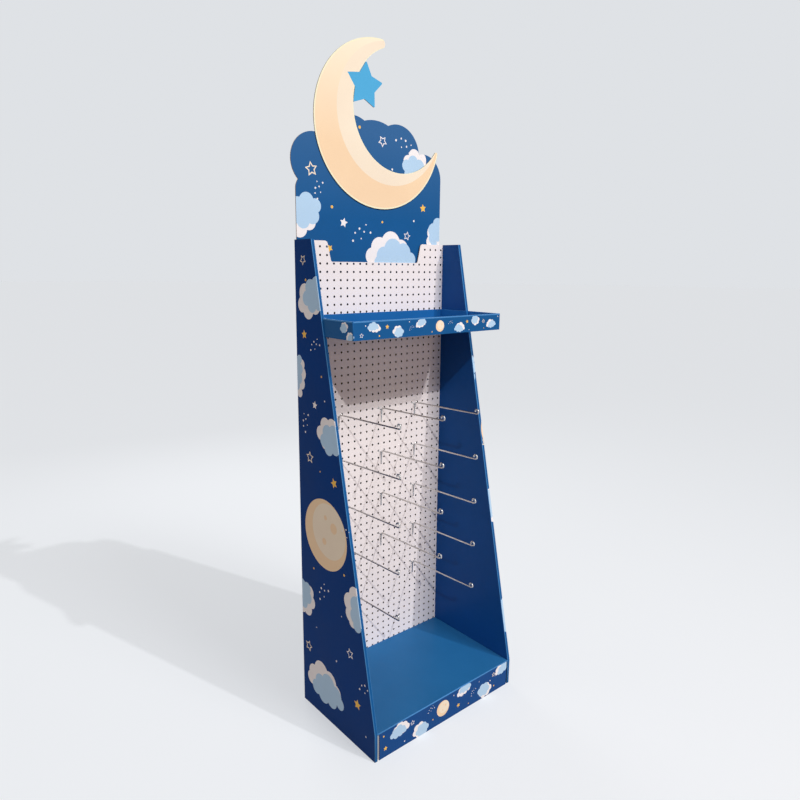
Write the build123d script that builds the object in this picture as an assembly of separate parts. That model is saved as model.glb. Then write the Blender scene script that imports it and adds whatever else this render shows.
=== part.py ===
"""Freestanding cardboard display stand with a pegboard, wire hooks, a shelf tray and a shaped header.

The stand is modelled about the front face of its pegboard: X runs to the right as the shopper sees it,
Y runs from the shopper towards the back, and Z is up from the shop floor. Sizes are in millimetres.
"""
from build123d import *
import math
import os

# Body: one printed sheet folded into a back panel and two double side walls
body_width = 600.0
body_height = 1510.0
base_depth = 388.0
top_depth = 92.0
floor_height = 90.0
wall_sheet = 4.0
wall_gap = 2.5
back_fold_radius = 3.0
edge_fold_radius = 1.5

# Pegboard: punched panel that stands in front of the back panel
board_sheet = 3.5
board_pocket = 4.5
hole_pitch = 25.0
hole_diameter = 6.0
hole_field_shift = 5.0
first_row_drop = 17.5
notch_top_width = 380.0
notch_bottom_width = 352.0
notch_depth = 62.0
notch_shift = -4.0
notch_tab_radius = 10.0
notch_floor_radius = 6.0

# Base tray: folded floor panel with a front fascia
base_sheet = 4.0
fascia_end_gap = 6.0
base_fold_radius = 2.5

# Shelf tray: folded tray whose wings wrap round the front edges of the side walls
tray_inset = 4.0
tray_depth = 272.0
tray_height = 52.0
tray_top_drop = 221.0
tray_sheet = 3.0
tray_corner_radius = 2.0

# Header card: scalloped card that stands in the pocket behind the pegboard
card_sheet = 3.0
card_width = 574.0
card_shift = -8.5
card_insert = 180.0
shoulder_radius = 40.0
shoulder_rise = 145.0
ear_radius = 80.0
ear_overhang = 14.5
ear_rise = 227.0
crest_radius = 94.0
crest_x = -81.5
crest_rise = 278.0
middle_radius = 143.0
middle_x = 5.5
middle_rise = 225.0
hump_radius = 91.0
hump_x = 96.5
hump_rise = 277.0
right_radius = 78.0
right_rise = 212.0

# Topper: crescent and star cut from one card, glued to the front of the header card
topper_sheet = 3.0
moon_radius = 249.0
moon_x = 17.0
moon_rise = 353.5
bite_radius = 186.0
bite_right = 78.0
bite_up = 52.5
upper_tip_radius = 13.0
right_tip_radius = 6.5
star_radius = 70.0
star_waist_radius = 39.0
star_overlap = 35.5
star_angle = 158.7
star_turn = 86.0
star_tip_radius = 3.0

# Hooks: bright wire, a yoke through two holes and an arm with a curled end
arm_wire = 4.5
yoke_wire = 3.6
hook_reach = 313.0
leg_length = 40.0
yoke_dip = 9.0
arm_rise = 2.2
arm_bend_radius = 9.0
curl_radius = 7.0
curl_tail = 12.0
prong_height = 10.0
yoke_bend_radius = 2.2
weld_depth = 0.6
hook_columns = {"left": -7, "centre": 0, "right": 6}
hooks_in_column = {"left": 5, "centre": 4, "right": 5}
goods_above_hooks = 269.5
goods_below_hooks = 277.5

# Facets: small round holes and wires have this many sides, which keeps the mesh light
round_sides = 8
bend_step = 45.0

# Clearances between pieces
face_gap = 0.3
side_gap = 0.5

# Positions that follow from the sizes above
half_width = body_width / 2
wall_thickness = 2 * wall_sheet + wall_gap
inner_half_width = half_width - wall_thickness
pocket_half_width = half_width - wall_sheet
pocket_back = board_sheet + board_pocket
back_face = pocket_back + wall_sheet
front_face = back_face - base_depth
top_front = back_face - top_depth
front_slope = math.atan2(top_front - front_face, body_height - floor_height)
first_row_height = body_height - first_row_drop
tray_top = body_height - tray_top_drop
tray_bottom = tray_top - tray_height


def block(x_low, x_high, y_low, y_high, z_low, z_high):
    """A box given by its two corners."""
    corner = Pos(x_low, y_low, z_low)
    size = (x_high - x_low, y_high - y_low, z_high - z_low)
    return corner * Box(*size, align=(Align.MIN, Align.MIN, Align.MIN))


def upright(sketch, y_front, thickness):
    """Turn a flat drawing in X and Z into a card whose front face is at y_front."""
    standing = Plane(origin=(0, y_front, 0), x_dir=(1, 0, 0), z_dir=(0, -1, 0))
    return extrude(standing * sketch, amount=-thickness)


def wall_profile(inset, back):
    """Side view of a wall, with its front edge moved back by inset and its rear edge at back."""
    lower_front = front_face + inset
    kink_height = floor_height - inset * math.tan(front_slope / 2)
    upper_front = top_front + inset / math.cos(front_slope)
    return [
        (back, 0),
        (lower_front, 0),
        (lower_front, kink_height),
        (upper_front, body_height),
        (back, body_height),
    ]


def wall_prism(inset, back, x_low, x_high):
    """The side view of a wall, given a thickness between two X positions."""
    side_view = Plane(origin=(x_low, 0, 0), x_dir=(0, 1, 0), z_dir=(1, 0, 0))
    profile = make_face(Polyline(*wall_profile(inset, back), close=True))
    return extrude(side_view * profile, amount=x_high - x_low)


def side_wall():
    """Left wall: outer sheet, folded front strip and inner panel, with a gap between the two sheets."""
    outer_sheet = wall_prism(0, back_face, -half_width, -pocket_half_width)
    strip = wall_prism(0, back_face, -half_width, -inner_half_width)
    strip -= wall_prism(wall_sheet, 2 * back_face, -2 * half_width, 0)
    inner_panel = wall_prism(0, -face_gap, -inner_half_width - wall_sheet, -inner_half_width)
    return outer_sheet + strip + inner_panel


def body_wrap():
    """Back panel and both side walls, folded from one sheet."""
    left_wall = side_wall()
    back_panel = block(-half_width, half_width, pocket_back, back_face, 0, body_height)
    wrap = left_wall + back_panel + mirror(left_wall, about=Plane.YZ)
    upright_edges = wrap.edges().filter_by(Axis.Z)
    back_corners = [e for e in upright_edges if abs(e.center().Y - back_face) < wall_sheet / 4]
    wrap = fillet(back_corners, back_fold_radius)
    front_edges = [e for e in wrap.edges() if is_front_fold(e)]
    return fillet(front_edges, edge_fold_radius)


def is_front_fold(edge):
    """True for the long edges where the front strip folds into the wall's outer and inner sheets."""
    middle = edge.center()
    runs_down = abs(edge.tangent_at(0.5).X) < 0.01 and edge.length > floor_height / 2
    at_fold = min(abs(abs(middle.X) - half_width), abs(abs(middle.X) - inner_half_width)) < wall_sheet / 4
    share_below_top = (body_height - middle.Z) / (body_height - floor_height)
    slanted_front = top_front + share_below_top * (front_face - top_front)
    front_here = max(front_face, slanted_front)
    return runs_down and at_fold and abs(middle.Y - front_here) < wall_sheet / 4


def column_x(index):
    """X position of a column of holes, counted from the middle one."""
    return hole_field_shift + index * hole_pitch


def row_z(index):
    """Height of a row of holes, counted down from the top row."""
    return first_row_height - index * hole_pitch


def hook_rows():
    """Rows of holes that carry hooks, evenly spaced between the shelf tray and the floor panel."""
    highest = math.ceil((first_row_height - tray_bottom + goods_above_hooks) / hole_pitch)
    lowest = math.floor((first_row_height - floor_height - goods_below_hooks) / hole_pitch)
    count = max(hooks_in_column.values())
    return [highest + place * ((lowest - highest) // (count - 1)) for place in range(count)]


def pegboard():
    """Punched panel with a wide notch that shows the header card, and rows of holes that carry the hooks."""
    half_board = pocket_half_width - side_gap
    outer_column = math.floor((half_board - abs(hole_field_shift)) / hole_pitch)
    notch_floor = body_height - notch_depth
    outline = Pos(0, body_height / 2) * Rectangle(2 * half_board, body_height)
    top_half = notch_top_width / 2
    bottom_half = notch_bottom_width / 2
    notch = make_face(Polyline(
        (notch_shift - top_half, body_height),
        (notch_shift - bottom_half, notch_floor),
        (notch_shift + bottom_half, notch_floor),
        (notch_shift + top_half, body_height),
        close=True,
    ))
    outline -= notch
    notch_sides = [v for v in outline.vertices() if abs(abs(v.X - notch_shift) - top_half) < 1]
    tab_corners = [v for v in notch_sides if v.Y > notch_floor + 1]
    outline = fillet(tab_corners, notch_tab_radius)
    floor_corners = [v for v in outline.vertices() if abs(v.Y - notch_floor) < 0.01]
    outline = fillet(floor_corners, notch_floor_radius)
    hole = RegularPolygon(hole_diameter / 2, round_sides, major_radius=False)
    holes = [
        Pos(column_x(column), row_z(row)) * hole
        for row in hook_rows()
        for column in range(-outer_column, outer_column + 1)
    ]
    outline -= holes
    return upright(outline, 0, board_sheet)


def base_tray():
    """Floor panel folded down on all four sides, its front flange being the fascia."""
    half_floor = inner_half_width - side_gap
    half_fascia = inner_half_width - fascia_end_gap
    rear = -face_gap
    floor_panel = block(-half_floor, half_floor, front_face, rear, floor_height - base_sheet, floor_height)
    fascia = block(-half_fascia, half_fascia, front_face, front_face + base_sheet, 0, floor_height)
    rear_flange = block(-half_fascia, half_fascia, rear - base_sheet, rear, 0, floor_height)
    side_flange = block(
        -half_floor,
        -half_floor + base_sheet,
        front_face + fascia_end_gap,
        rear - fascia_end_gap,
        0,
        floor_height,
    )
    tray = floor_panel + fascia + rear_flange + side_flange + mirror(side_flange, about=Plane.YZ)
    top_edges = [e for e in tray.edges().filter_by(Axis.X) if abs(e.center().Z - floor_height) < 0.01]
    front_folds = [e for e in top_edges if e.length > half_floor and e.center().Y < front_face + 1]
    return fillet(front_folds, base_fold_radius)


def shelf_tray():
    """Open tray with rolled double rims; the front part is wider and wraps the front edges of the walls."""
    half_tray = half_width - tray_inset
    rim = 2 * tray_sheet
    tray = block(-half_tray, half_tray, -tray_depth, -face_gap, tray_bottom, tray_top)
    front_corners = tray.edges().filter_by(Axis.Z).sort_by(Axis.Y)[:2]
    tray = fillet(front_corners, tray_corner_radius)
    hollow = block(-half_tray + rim, half_tray - rim, -tray_depth + rim, -face_gap - rim,
                   tray_bottom + tray_sheet, tray_top + rim)
    for side in (-1, 1):
        wall_room = side_room(side, side_gap, inner_half_width - side_gap)
        rim_room = side_room(side, side_gap + rim, inner_half_width - side_gap - rim)
        tray -= wall_room
        hollow -= rim_room
    return tray - hollow


def side_room(side, growth, x_inner):
    """Space of one side wall, grown forward by growth and inward to x_inner."""
    x_low, x_high = sorted((side * x_inner, side * 2 * half_width))
    return wall_prism(-growth, 2 * back_face, x_low, x_high)


def header_card():
    """Scalloped header card, drawn from its sides, its rounded shoulders and three humps."""
    left = card_shift - card_width / 2
    right = card_shift + card_width / 2
    bottom = body_height - card_insert
    shoulder = (left + shoulder_radius, body_height + shoulder_rise)
    ear = (left - ear_overhang + ear_radius, body_height + ear_rise)
    crest = (card_shift + crest_x, body_height + crest_rise)
    middle = (card_shift + middle_x, body_height + middle_rise)
    hump = (card_shift + hump_x, body_height + hump_rise)
    corner = (right - right_radius, body_height + right_rise)
    outline = make_face(Polyline(
        (left, bottom), (left, shoulder[1]), shoulder, ear, crest, middle, hump, corner,
        (right, corner[1]), (right, bottom), close=True))
    lobes = [
        (shoulder, shoulder_radius),
        (ear, ear_radius),
        (crest, crest_radius),
        (middle, middle_radius),
        (hump, hump_radius),
        (corner, right_radius),
    ]
    for centre, radius in lobes:
        outline += Pos(*centre) * Circle(radius)
    return upright(outline, board_sheet + face_gap, card_sheet)


def on_circle(centre, radius, angle):
    """Point at an angle, in degrees, on a circle."""
    return (
        centre[0] + radius * math.cos(math.radians(angle)),
        centre[1] + radius * math.sin(math.radians(angle)),
    )


def crescent():
    """Crescent: a round moon with a round bite, its upper tip blunter than its right one."""
    moon = (moon_x, body_height + moon_rise)
    bite = (moon[0] + bite_right, moon[1] + bite_up)
    face = Pos(*moon) * Circle(moon_radius) - Pos(*bite) * Circle(bite_radius)
    for place, radius in ((-1, upper_tip_radius), (0, right_tip_radius)):
        tips = [v for v in face.vertices() if abs(math.dist((v.X, v.Y), bite) - bite_radius) < 0.01]
        tips = [v for v in tips if abs(math.dist((v.X, v.Y), moon) - moon_radius) < 0.01]
        tips = sorted(tips, key=lambda v: v.Y)
        face = fillet(tips[place], radius)
    return face


def star():
    """Five-pointed star that hangs in the bite and reaches over the crescent's edge."""
    bite = (moon_x + bite_right, body_height + moon_rise + bite_up)
    centre = on_circle(bite, bite_radius - star_radius + star_overlap, star_angle)
    points = []
    for step in range(5):
        points.append(on_circle(centre, star_radius, star_turn + 72 * step))
        points.append(on_circle(centre, star_waist_radius, star_turn + 36 + 72 * step))
    face = make_face(Polyline(*points, close=True))
    halfway = (star_radius + star_waist_radius) / 2
    tips = [v for v in face.vertices() if math.dist((v.X, v.Y), centre) > halfway]
    return fillet(tips, star_tip_radius)


def moon_topper():
    """Crescent and star in one card, its back against the header card."""
    topper_front = board_sheet - topper_sheet
    return upright(crescent() + star(), topper_front, topper_sheet)


def wire(points, diameter):
    """Wire that follows a line of points, with mitred corners."""
    path = Polyline(*points)
    start = Plane(origin=path @ 0, z_dir=path % 0)
    return sweep(start * RegularPolygon(diameter / 2, round_sides), path=path, transition=Transition.RIGHT)


def bend_points(centre, radius, first, last):
    """Points along a bend, from one angle to another, no further apart than the bend step."""
    steps = max(1, math.ceil(abs(last - first) / bend_step))
    return [on_circle(centre, radius, first + (last - first) * step / steps) for step in range(steps + 1)]


def hook(x, row_height):
    """Wire hook: a yoke through two holes, and an arm welded to it whose leg leans back on the board."""
    yoke_y = -face_gap - yoke_wire / 2
    prong_y = board_sheet + face_gap + yoke_wire / 2
    half_pitch = hole_pitch / 2
    weld_height = row_height - yoke_dip
    bend = yoke_bend_radius
    half_yoke = [
        (half_pitch, prong_y, row_height + prong_height),
        (half_pitch, prong_y, row_height + bend),
        (half_pitch, prong_y - bend, row_height),
        (half_pitch, yoke_y + bend, row_height),
        (half_pitch - bend, yoke_y, row_height - bend * yoke_dip / half_pitch),
    ]
    left_yoke = [(x - across, y, z) for across, y, z in half_yoke]
    right_yoke = [(x + across, y, z) for across, y, z in reversed(half_yoke)]
    yoke = wire(left_yoke + [(x, yoke_y, weld_height)] + right_yoke, yoke_wire)
    lean = math.degrees(math.asin((yoke_wire - weld_depth) / leg_length))
    weld_y = -face_gap - yoke_wire - arm_wire / 2 + weld_depth
    outline = [on_circle((0, 0), leg_length, -90 - lean)]
    elbow = on_circle((0, 0), arm_bend_radius, -lean)
    outline += bend_points(elbow, arm_bend_radius, 180 - lean, 90 + arm_rise)
    arm_start = outline[-1]
    curl_out = hook_reach + weld_y - curl_radius - arm_wire / 2
    arm_run = curl_out + curl_radius * math.sin(math.radians(arm_rise)) - arm_start[0]
    arm_end = (arm_start[0] + arm_run, arm_start[1] + arm_run * math.tan(math.radians(arm_rise)))
    curl = on_circle(arm_end, curl_radius, 90 + arm_rise)
    outline += bend_points(curl, curl_radius, arm_rise - 90, arm_rise + 90)
    outline.append(on_circle(outline[-1], curl_tail, arm_rise + 180))
    arm = wire([(x, weld_y - out, weld_height + up) for out, up in outline], arm_wire)
    return yoke + arm


def build_nodes():
    """Every piece of the stand, by name."""
    nodes = {
        "body_wrap": body_wrap(),
        "pegboard": pegboard(),
        "base_tray": base_tray(),
        "shelf_tray": shelf_tray(),
        "header_card": header_card(),
        "moon_topper": moon_topper(),
    }
    rows = hook_rows()
    for side, column in hook_columns.items():
        x = column_x(column) + hole_pitch / 2
        for place in range(hooks_in_column[side]):
            nodes[f"hook_{side}_{place + 1}"] = hook(x, row_z(rows[place]))
    return nodes


# The origin is on the floor, below the middle of the whole stand, so every piece moves there
widest_left = half_width + max(0.0, card_width / 2 + ear_overhang - card_shift - half_width)
to_origin = Pos((widest_left - half_width) / 2, base_depth / 2 - back_face, 0)

os.makedirs("parts", exist_ok=True)
for name, solid in build_nodes().items():
    export_step(to_origin * solid, f"parts/{name}.step")
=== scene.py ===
import math
from collections import namedtuple

import bmesh
import bpy
from bpy.props import FloatProperty, FloatVectorProperty, IntProperty, PointerProperty
from mathutils import Matrix, Vector
from mathutils.geometry import delaunay_2d_cdt, intersect_line_line_2d, intersect_point_line


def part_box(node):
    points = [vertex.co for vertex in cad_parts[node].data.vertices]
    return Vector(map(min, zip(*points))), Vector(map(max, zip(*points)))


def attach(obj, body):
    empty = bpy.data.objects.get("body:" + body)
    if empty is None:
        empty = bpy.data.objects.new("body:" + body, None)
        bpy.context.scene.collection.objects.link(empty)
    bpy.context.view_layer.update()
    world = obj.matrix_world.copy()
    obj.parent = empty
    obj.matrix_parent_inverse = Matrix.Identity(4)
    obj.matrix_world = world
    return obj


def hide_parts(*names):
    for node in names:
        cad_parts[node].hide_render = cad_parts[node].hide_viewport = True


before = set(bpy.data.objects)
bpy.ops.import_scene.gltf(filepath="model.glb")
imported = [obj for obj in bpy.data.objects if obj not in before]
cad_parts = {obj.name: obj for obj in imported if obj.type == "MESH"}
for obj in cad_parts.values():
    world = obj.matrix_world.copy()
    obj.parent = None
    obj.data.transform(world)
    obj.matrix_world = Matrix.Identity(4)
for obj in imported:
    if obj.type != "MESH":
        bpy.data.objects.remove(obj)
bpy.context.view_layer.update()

bl_info = {
    "name": "Cardboard display stand",
    "version": (1, 0, 0),
    "blender": (4, 5, 0),
    "location": "3D View > Sidebar > Display stand",
    "description": "Printed card, pegboard and wire hooks of a shop display stand",
    "category": "Object",
}

# Lengths in this file are in metres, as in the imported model
millimetre = 0.001
flute_pitch = 7.2 * millimetre

# Corners of a mesh that are nearer together than this are one corner
merge_distance = 2e-6

# Places that differ by less than this along an axis are level with each other
level_gap = 1e-5

# A face looks along an axis when its normal has at least this share of it
facing = 0.9

# A face of a rounded fold turns towards an axis when its normal has more than this share of it
turning = 0.05


def ink(red, green, blue):
    """Screen colour, 0 to 255, as the linear colour that Blender's shaders take."""
    parts = []
    for part in (red, green, blue):
        share = part / 255
        if share <= 0.04045:
            parts.append(share / 12.92)
        else:
            parts.append(((share + 0.055) / 1.055) ** 2.4)
    return tuple(parts)


def colour_setting(name, description, colour):
    """A colour that the sidebar shows."""
    return FloatVectorProperty(
        name=name, description=description, default=colour, subtype="COLOR", size=3, min=0, max=1)


def length_setting(name, description, metres):
    """A length that the sidebar shows in the scene's units."""
    return FloatProperty(
        name=name, description=description, default=metres, min=0, unit="LENGTH", precision=4)


def angle_setting(name, description, degrees):
    """An angle that the sidebar shows in degrees."""
    return FloatProperty(
        name=name, description=description, default=math.radians(degrees), subtype="ANGLE")


def light_setting(name, description, strength):
    """Strength or power of a light."""
    return FloatProperty(name=name, description=description, default=strength, min=0)


class StandInks(bpy.types.PropertyGroup):
    """Colours of the print, the bare board and the wire, with some blues that carry painted shade
    or painted highlight
    """

    night: colour_setting("Night blue", "Ground colour of the print", ink(20, 88, 147))
    # Paler blue for the header's top: a painted sheen of the light from above, on the same print as
    # night blue
    painted_sheen_blue: colour_setting("Painted sheen blue", "Paler night blue at the header's top", ink(54, 103, 156))
    # Darker copy of the print blue for the walls and back: painted shade
    deep: colour_setting("Outer shade blue", "Ground colour of the side walls", ink(8, 58, 126))
    # Darker copy of the print blue for the inner walls and the base's front: painted shade
    lining: colour_setting("Lining shade blue", "Inner walls and the base's front", ink(16, 72, 136))
    inside: colour_setting("Inside blue", "Plain blue inside the shelf tray", ink(32, 104, 168))
    panel: colour_setting("Panel blue", "Plain blue of the floor panel", ink(36, 102, 155))
    # Lighter blue on folds, rim tops and the shelf's top strip: partly wear, partly painted
    # highlight
    crease: colour_setting("Fold wear and highlight blue", "Lighter blue along the folds", ink(76, 138, 198))
    cloud: colour_setting("Cloud blue", "Pale blue clouds", ink(186, 218, 246))
    white: colour_setting("Cloud white", "White clouds, small stars and dots", ink(250, 246, 248))
    cream: colour_setting("Cream", "Lit part of the moons", ink(252, 236, 214))
    peach: colour_setting("Peach", "Shaded part of the moons", ink(253, 221, 184))
    glow: colour_setting("Glow", "Paler peach at the crescent's upper tip", ink(255, 242, 218))
    rim: colour_setting("Rim yellow", "Thin edge line of the crescent", ink(255, 247, 214))
    gold: colour_setting("Gold", "Small gold stars", ink(250, 200, 96))
    star: colour_setting("Star blue", "Large star on the topper", ink(84, 176, 226))
    kraft: colour_setting("Kraft", "Unprinted liner on the hidden side", ink(190, 157, 117))
    flute: colour_setting("Flute", "Cut edge of the corrugated board", ink(150, 128, 110))
    # Near black on the holes' walls: painted shade inside the holes
    hole: colour_setting("Hole", "Dark wall of a punched hole", ink(16, 14, 14))
    board: colour_setting("Board white", "Coated face of the pegboard", ink(250, 242, 241))
    wire: colour_setting("Zinc", "Bright plated wire of the hooks", ink(206, 205, 203))


class StandPegboard(bpy.types.PropertyGroup):
    """Sizes of the punched board"""

    hole_diameter: length_setting("Hole diameter", "Diameter of a hole", 7.2 * millimetre)
    hole_pitch: length_setting("Hole pitch", "Distance from one hole to the next", 25 * millimetre)
    hole_margin: length_setting("Hole margin", "Least distance to the edge", 4.5 * millimetre)
    first_row_drop: length_setting("First row", "Drop of the top row of holes", 17.5 * millimetre)
    shift: length_setting("Shift", "Offset of the middle column of holes", 5 * millimetre)
    hole_sides: IntProperty(
        name="Hole sides", description="Sides of a round hole", default=12, min=6, max=24)


class StandHooks(bpy.types.PropertyGroup):
    """Sizes of the wire hooks"""

    arm_wire: length_setting("Arm wire", "Diameter of the arm's wire", 5.0 * millimetre)
    yoke_wire: length_setting("Yoke wire", "Diameter of the yoke's wire", 3.6 * millimetre)
    reach: length_setting("Reach", "Distance from the board to the curl's end", 313 * millimetre)
    leg: length_setting("Leg", "Length of the leg that leans on the board", 40 * millimetre)
    rise: angle_setting("Rise", "Upward tilt of the arm", 2.2)
    bend: length_setting("Bend", "Radius of the bend between leg and arm", 9 * millimetre)
    curl: length_setting("Curl", "Radius of the curled end", 7 * millimetre)
    curl_turn: angle_setting("Curl turn", "Angle that the curled end turns through", 282)
    yoke_dip: length_setting("Yoke dip", "Drop of the yoke's middle", 9 * millimetre)
    yoke_bend: length_setting("Yoke bend", "Radius of the yoke's bends", 2.2 * millimetre)
    prong: length_setting("Prong", "Height of the prongs behind the board", 10 * millimetre)


class StandStudio(bpy.types.PropertyGroup):
    """Camera, lamps and floor"""

    camera_place: FloatVectorProperty(
        name="Camera", description="Place of the camera", default=(-1.3227, -1.5018, 1.4347),
        subtype="TRANSLATION", unit="LENGTH")
    camera_heading: angle_setting("Heading", "Turn of the view to the right", 40.359)
    camera_pitch: angle_setting("Pitch", "Upward tilt of the view", -11.588)
    camera_roll: angle_setting("Roll", "Roll of the camera", 0.535)
    camera_lens: FloatProperty(
        name="Lens", description="Focal length on a sensor 36 mm wide", default=29.232,
        subtype="DISTANCE_CAMERA")
    ceiling_power: light_setting("Ceiling", "Strength of the even light from above", 0.35)
    left_power: light_setting("Left spot", "Strength of the small lamp at the left", 1.0)
    right_power: light_setting("Right spot", "Strength of the small lamp at the right", 0.9)
    panel_power: light_setting("Lamp panel", "Power of the lamp panel in front", 30)
    fill_power: light_setting("Low panel", "Power of the warm panel low in front", 7.5)
    side_power: light_setting("Side panel", "Power of the soft panel at the left", 3)
    back_power: light_setting("Back panel", "Power of the soft panel behind the stand", 20)
    room_light: light_setting("Room light", "Strength of the light all round", 0.19)
    backdrop: colour_setting("Backdrop", "Colour of floor and background", ink(236, 239, 243))
    bounce: colour_setting("Bounce", "Light that the floor throws back", ink(166, 151, 142))


class Graph:
    """Adds nodes to a shader or geometry tree and links them."""

    def __init__(self, tree):
        self.tree = tree

    def feed(self, node, inputs):
        """Give a node's inputs either plain values or other nodes' outputs."""
        for name, value in inputs.items():
            if isinstance(value, bpy.types.NodeSocket):
                self.tree.links.new(value, node.inputs[name])
            else:
                node.inputs[name].default_value = value

    def add(self, kind, inputs=None, **settings):
        """Add a node and feed its inputs."""
        node = self.tree.nodes.new(kind)
        for name, value in settings.items():
            setattr(node, name, value)
        self.feed(node, inputs or {})
        return node

    def make(self, kind, inputs=None, **settings):
        """First output of a node that is added."""
        return self.add(kind, inputs, **settings).outputs[0]

    def math(self, operation, first, second=0.0):
        """Output of a math node."""
        return self.make("ShaderNodeMath", {0: first, 1: second}, operation=operation)

    def noise(self, place, scale, detail, roughness=0.5, distortion=0.0):
        """Noise at a place, from 0 to 1."""
        return self.make("ShaderNodeTexNoise", {
            "Vector": place,
            "Scale": scale,
            "Detail": detail,
            "Roughness": roughness,
            "Distortion": distortion,
        })

    def ramp(self, factor, stops):
        """Colour ramp through the given places and colours."""
        node = self.add("ShaderNodeValToRGB", {"Fac": factor})
        elements = node.color_ramp.elements
        while len(elements) < len(stops):
            elements.new(0.5)
        for element, (place, colour) in zip(elements, stops):
            element.position = place
            element.color = (*colour, 1)
        return node.outputs["Color"]

    def spread(self, value, low, high, new_low, new_high):
        """Map a range of a value to another range."""
        return self.make("ShaderNodeMapRange", {
            "Value": value,
            "From Min": low,
            "From Max": high,
            "To Min": new_low,
            "To Max": new_high,
        })

    def mix(self, share, first, second):
        """Mix of two colours."""
        return self.make("ShaderNodeMixRGB", {"Fac": share, "Color1": first, "Color2": second})

    def flutes(self, place, across):
        """Wave of the board's flutes along the direction that crosses them."""
        run = self.add("ShaderNodeVectorMath", {0: place, 1: across}, operation="DOT_PRODUCT")
        phase = self.math("MULTIPLY", run.outputs["Value"], 2 * math.pi / flute_pitch)
        return self.math("SINE", phase)

    def bump(self, height, strength, distance):
        """Normals of a bumpy surface."""
        return self.make("ShaderNodeBump", {
            "Height": height, "Strength": strength, "Distance": distance})

    def straight_rays(self):
        """One for what camera, gloss and clear surfaces see, and nought for light thrown about."""
        rays = self.add("ShaderNodeLightPath").outputs
        straight = self.math("MAXIMUM", rays["Is Camera Ray"], rays["Is Glossy Ray"])
        return self.math("MAXIMUM", straight, rays["Is Transmission Ray"])

    def join(self, *parts):
        """Geometry of all the parts together."""
        joined = self.add("GeometryNodeJoinGeometry")
        for part in parts:
            self.tree.links.new(part, joined.inputs[0])
        return joined.outputs[0]


def shade(colour, share):
    """The same colour made darker or lighter."""
    return tuple(min(1.0, part * share) for part in colour)


def tint(colour, other, share):
    """A colour mixed with some of another."""
    return tuple(a + (b - a) * share for a, b in zip(colour, other))


def new_surface(name):
    """A material with only its shader and output, and the graph to add to."""
    material = bpy.data.materials.new(name)
    material.use_nodes = True
    material.node_tree.nodes.clear()
    graph = Graph(material.node_tree)
    shader = graph.add("ShaderNodeBsdfPrincipled")
    graph.add("ShaderNodeOutputMaterial", {"Surface": shader.outputs["BSDF"]})
    return material, graph, shader


# Colour that another one fades into, and the heights between which it does
Fade = namedtuple("Fade", "colour low high")


def card_surface(name, colour, roughness, contrast, gloss_level, flutes_across, fade):
    """Coated card with mottled fibres, changes of tone, scuffs, and flutes that show through."""
    material, graph, shader = new_surface(name)
    place = graph.add("ShaderNodeTexCoord").outputs["Object"]
    fibres = graph.noise(place, scale=620.0, detail=4.0, roughness=0.62)
    tone = graph.noise(place, scale=5.0, detail=3.0)
    stretched = graph.make("ShaderNodeMapping", {"Vector": place, "Scale": (90.0, 90.0, 30.0)})
    scuffs = graph.noise(stretched, scale=1.0, detail=5.0, roughness=0.7, distortion=0.6)
    mottle = graph.math("MULTIPLY", graph.math("ADD", fibres, tone), 0.5)
    worn = graph.spread(scuffs, 0.68, 0.78, 0.0, 0.32)
    print_colour = graph.ramp(graph.math("ADD", mottle, worn), (
        (0.34, shade(colour, 1 - contrast)),
        (0.62, shade(colour, 1 + contrast)),
        (1.0, tint(colour, (1, 1, 1), 0.08)),
    ))
    # Fade by height into another colour; on night blue this is a painted sheen towards the top
    if fade:
        height = graph.add("ShaderNodeSeparateXYZ", {0: place}).outputs["Z"]
        share = graph.spread(height, fade.low, fade.high, 0.0, 1.0)
        print_colour = graph.mix(share, print_colour, (*fade.colour, 1))
    low_flutes = graph.math("MULTIPLY", graph.flutes(place, flutes_across), 0.3)
    relief = graph.math("ADD", low_flutes, fibres)
    graph.feed(shader, {
        "Base Color": print_colour,
        "Normal": graph.bump(relief, strength=0.22, distance=0.4 * millimetre),
        "Roughness": graph.spread(tone, 0.3, 0.7, roughness - 0.05, roughness + 0.07),
        "Specular IOR Level": gloss_level,
    })
    return material


def cut_edge_surface(name, colour):
    """Cut edge of corrugated board: the gaps of the flutes between the liners painted darker as
    shade.
    """
    material, graph, shader = new_surface(name)
    place = graph.add("ShaderNodeTexCoord").outputs["Object"]
    fibres = graph.noise(place, scale=480.0, detail=4.0)
    waves = graph.math("MULTIPLY", graph.flutes(place, (1.0, 1.0, 1.0)), 0.2)
    shaded_openings = graph.math("ADD", waves, fibres)
    edge_colour = graph.ramp(shaded_openings, (
        (0.3, shade(colour, 0.45)),
        (0.5, colour),
        (0.8, shade(colour, 1.25)),
    ))
    graph.feed(shader, {
        "Base Color": edge_colour,
        "Normal": graph.bump(shaded_openings, strength=0.5, distance=0.6 * millimetre),
        "Roughness": 0.85,
    })
    return material


def wire_surface(name, colour):
    """Bright plated wire with fine drawing marks."""
    material, graph, shader = new_surface(name)
    place = graph.add("ShaderNodeTexCoord").outputs["Object"]
    marks = graph.noise(place, scale=900.0, detail=3.0)
    haze = graph.noise(place, scale=60.0, detail=3.0)
    graph.feed(shader, {
        "Base Color": graph.ramp(haze, ((0.35, shade(colour, 0.8)), (0.65, colour))),
        "Roughness": graph.spread(marks, 0.3, 0.7, 0.16, 0.3),
        "Normal": graph.bump(marks, strength=0.12, distance=0.1 * millimetre),
        "Metallic": 1.0,
    })
    return material


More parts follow.
